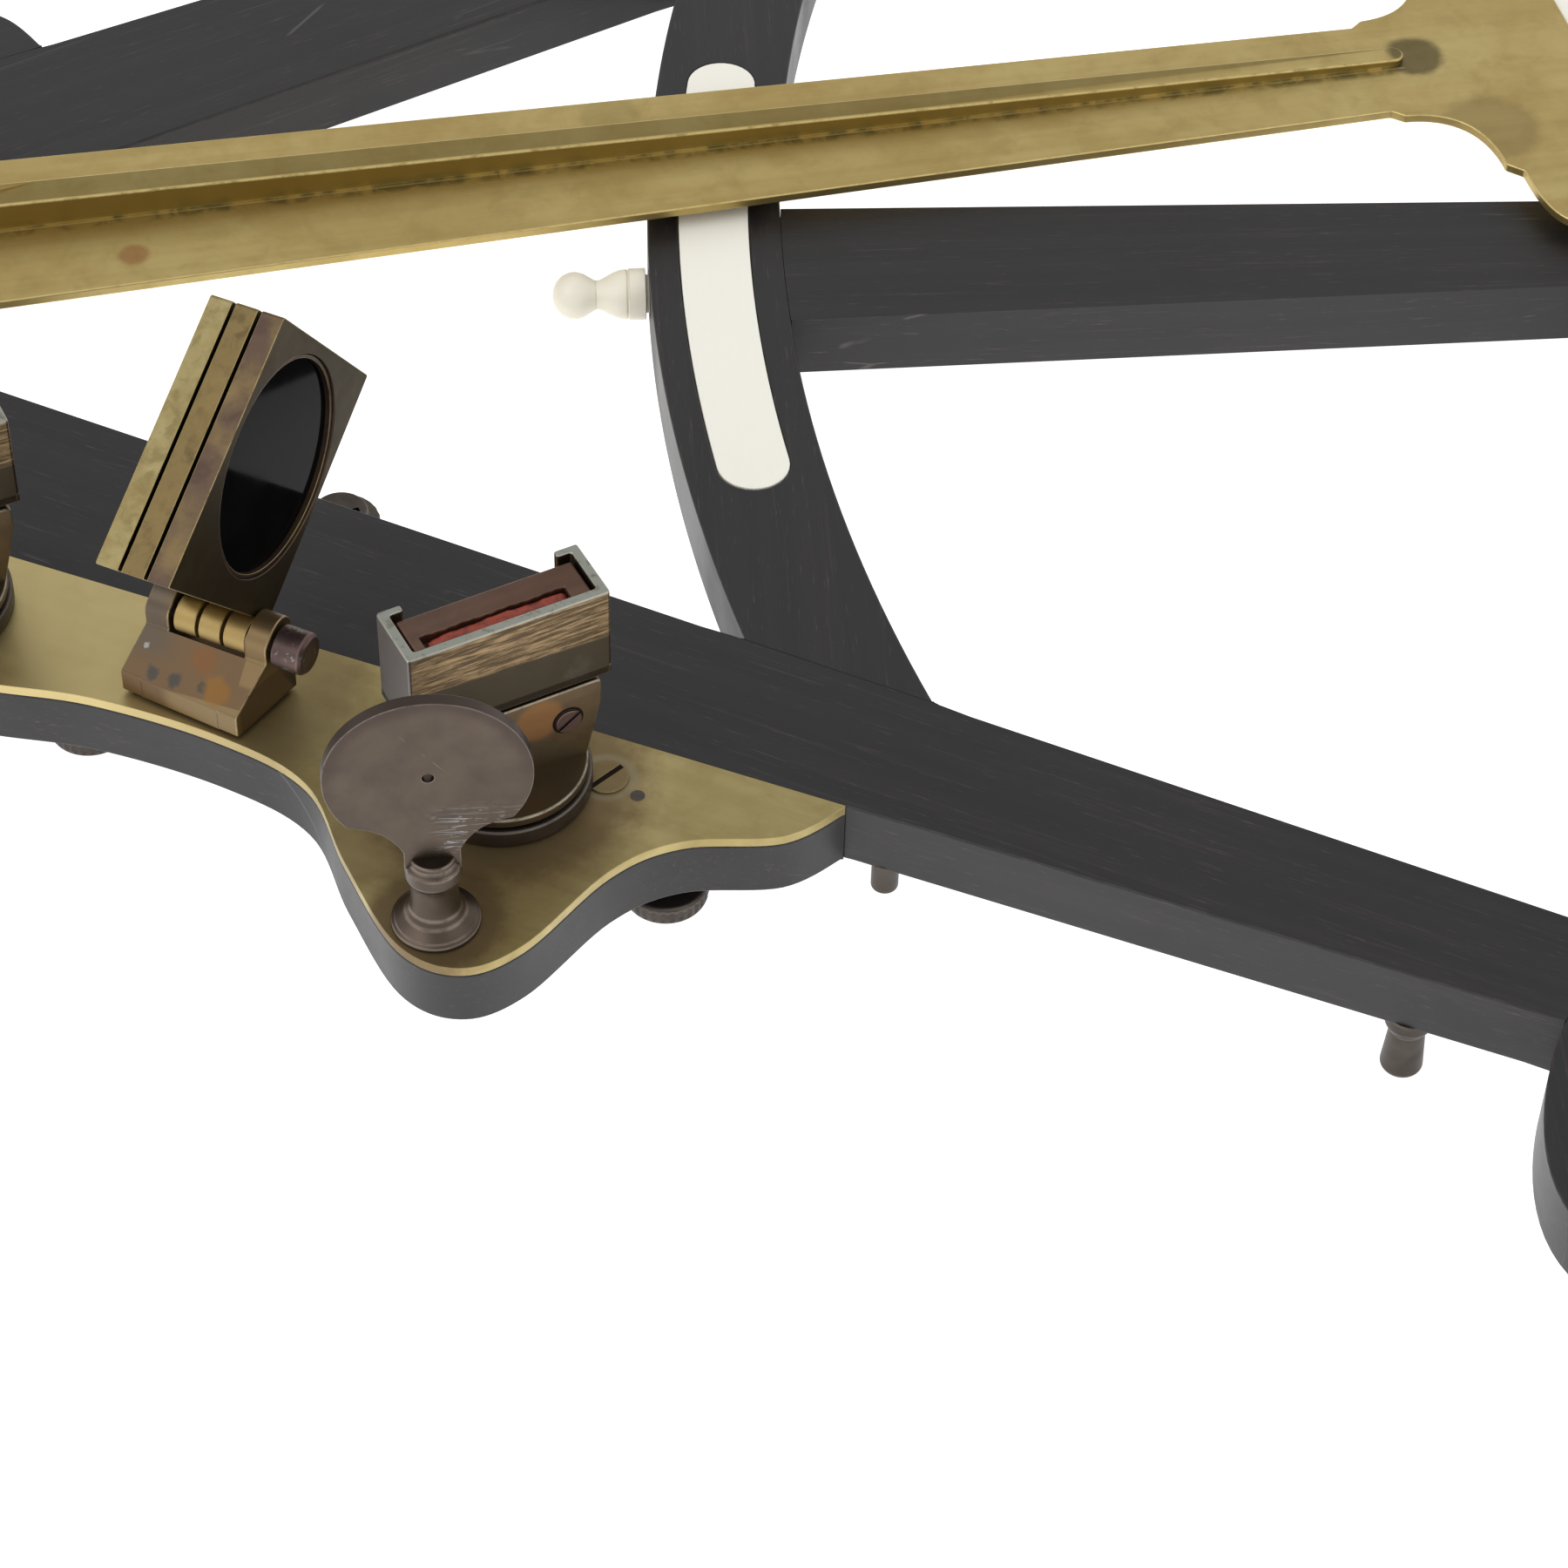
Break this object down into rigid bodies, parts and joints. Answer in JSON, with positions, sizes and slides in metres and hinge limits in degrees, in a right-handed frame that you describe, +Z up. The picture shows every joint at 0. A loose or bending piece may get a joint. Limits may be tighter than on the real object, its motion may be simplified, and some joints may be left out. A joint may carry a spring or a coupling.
{
  "type": "nautical octant",
  "caption": "Ebony, brass and ivory reflecting octant: swinging index arm over a graduated arc, mirrors, swinging shades and sight vanes.",
  "frame": {"origin": "under the middle of the box, on the plane that the three feet stand on", "axes": "+X from the index pivot to the middle of the arc, +Y towards the right limb, +Z up out of the face"},
  "size_m": [0.2992, 0.3068, 0.0617],
  "materials": {
    "ebony": "dark oiled ebony, satin",
    "ivory": "polished cream ivory substitute",
    "bone": "satin bone",
    "arm_brass": "brushed golden brass",
    "plate_brass": "aged olive brass",
    "shade_brass": "filed brass, browned faces",
    "old_brass": "brown oxidised brass with scratches",
    "smoked_glass": "near-black smoked glass",
    "silvered_glass": "silvered glass"
  },
  "bodies": {
    "frame": {"apex_block": "ebony", "left_limb": "ebony", "right_limb": "ebony", "crossbar": "ebony", "stem": "ebony", "arc_limb": "ebony", "left_cheek": "ebony", "right_cheek": "ebony", "left_plate": "plate_brass", "name_plate": "ivory", "arc_scale": "ivory", "pivot_front_plate": "arm_brass", "pivot_rear_plate": "arm_brass", "fore_mirror_seat": "old_brass", "back_mirror_seat": "old_brass", "back_sight_vane": "old_brass", "fore_sight_vane": "arm_brass", "sight_shutter_screw": "old_brass", "apex_foot": "old_brass", "left_foot": "old_brass", "right_foot": "old_brass", "limb_peg": "old_brass", "shade_block": "old_brass", "shade_pin_screw": "old_brass"},
    "index_arm": {"index_arm": "arm_brass", "vernier_scale": "ivory", "pivot_centre": "arm_brass", "pivot_washer": "arm_brass", "pivot_nut": "old_brass", "clamp_jaw": "arm_brass", "clamp_shoe": "arm_brass", "index_mirror_base": "arm_brass", "index_mirror_tray": "old_brass", "index_mirror_backing": "old_brass", "index_mirror_glass": "silvered_glass"},
    "clamp_screw": {"clamp_screw": "old_brass"},
    "index_mirror_screw": {"index_mirror_screw": "old_brass"},
    "fore_mirror": {"fore_mirror_stand": "old_brass", "fore_mirror_tray": "old_brass", "fore_mirror_backing": "old_brass", "fore_mirror_glass": "silvered_glass", "fore_mirror_screw": "old_brass", "fore_mirror_lever": "old_brass"},
    "back_mirror": {"back_mirror_stand": "old_brass", "back_mirror_tray": "old_brass", "back_mirror_backing": "old_brass", "back_mirror_glass": "silvered_glass", "back_mirror_screw": "old_brass", "back_mirror_lever": "old_brass"},
    "fore_clamp_knob": {"fore_clamp_knob": "old_brass"},
    "back_clamp_knob": {"back_clamp_knob": "old_brass"},
    "note_pencil": {"note_pencil": "bone"},
    "sight_shutter": {"sight_shutter": "old_brass"},
    "shade_1": {"shade_frame_1": "shade_brass", "shade_glass_1": "smoked_glass"},
    "shade_2": {"shade_frame_2": "shade_brass", "shade_glass_2": "smoked_glass"},
    "shade_3": {"shade_frame_3": "shade_brass", "shade_glass_3": "smoked_glass"}
  },
  "joints": [
    {"name": "index_arm_swing", "type": "hinge", "parent": "frame", "child": "index_arm", "pos_m": [-0.1279, 0, 0.019], "axis": [0, 0, 1], "range_deg": [-33, 16.5]},
    {"name": "clamp_screw_turn", "type": "hinge", "parent": "index_arm", "child": "clamp_screw", "pos_m": [0.14627, 0.03951, 0.01285], "axis": [0.9898, 0.1426, 0], "range_deg": [0, 180]},
    {"name": "index_mirror_screw_turn", "type": "hinge", "parent": "index_arm", "child": "index_mirror_screw", "pos_m": [-0.12947, 0.01089, 0.03215], "axis": [-0.1426, 0.9898, 0], "range_deg": [-90, 90]},
    {"name": "fore_mirror_turn", "type": "hinge", "parent": "frame", "child": "fore_mirror", "pos_m": [-0.0884, -0.054, 0.0194], "axis": [0, 0, 1], "range_deg": [-4, 4]},
    {"name": "back_mirror_turn", "type": "hinge", "parent": "frame", "child": "back_mirror", "pos_m": [-0.0257, -0.0829, 0.0194], "axis": [0, 0, 1], "range_deg": [-4, 4]},
    {"name": "fore_clamp_knob_turn", "type": "hinge", "parent": "frame", "child": "fore_clamp_knob", "pos_m": [-0.0714, -0.0595, 0.005], "axis": [0, 0, 1], "range_deg": [0, 180]},
    {"name": "back_clamp_knob_turn", "type": "hinge", "parent": "frame", "child": "back_clamp_knob", "pos_m": [-0.0084, -0.0872, 0.005], "axis": [0, 0, 1], "range_deg": [0, 180]},
    {"name": "note_pencil_slide", "type": "slide", "parent": "frame", "child": "note_pencil", "axis": [-1, 0, 0], "range_m": [0, 0.07]},
    {"name": "sight_shutter_swing", "type": "hinge", "parent": "frame", "child": "sight_shutter", "pos_m": [-0.1039, 0.045, 0.045], "axis": [0.1392, -0.9903, 0], "range_deg": [-32, 32]},
    {"name": "shade_1_swing", "type": "hinge", "parent": "frame", "child": "shade_1", "pos_m": [-0.05528, -0.06746, 0.0263], "axis": [0.8846, -0.4664, 0], "range_deg": [-32, 30]},
    {"name": "shade_2_swing", "type": "hinge", "parent": "frame", "child": "shade_2", "pos_m": [-0.05528, -0.06746, 0.0263], "axis": [0.8846, -0.4664, 0], "range_deg": [-32, 30]},
    {"name": "shade_3_swing", "type": "hinge", "parent": "frame", "child": "shade_3", "pos_m": [-0.05528, -0.06746, 0.0263], "axis": [0.8846, -0.4664, 0], "range_deg": [-32, 30]}
  ]
}
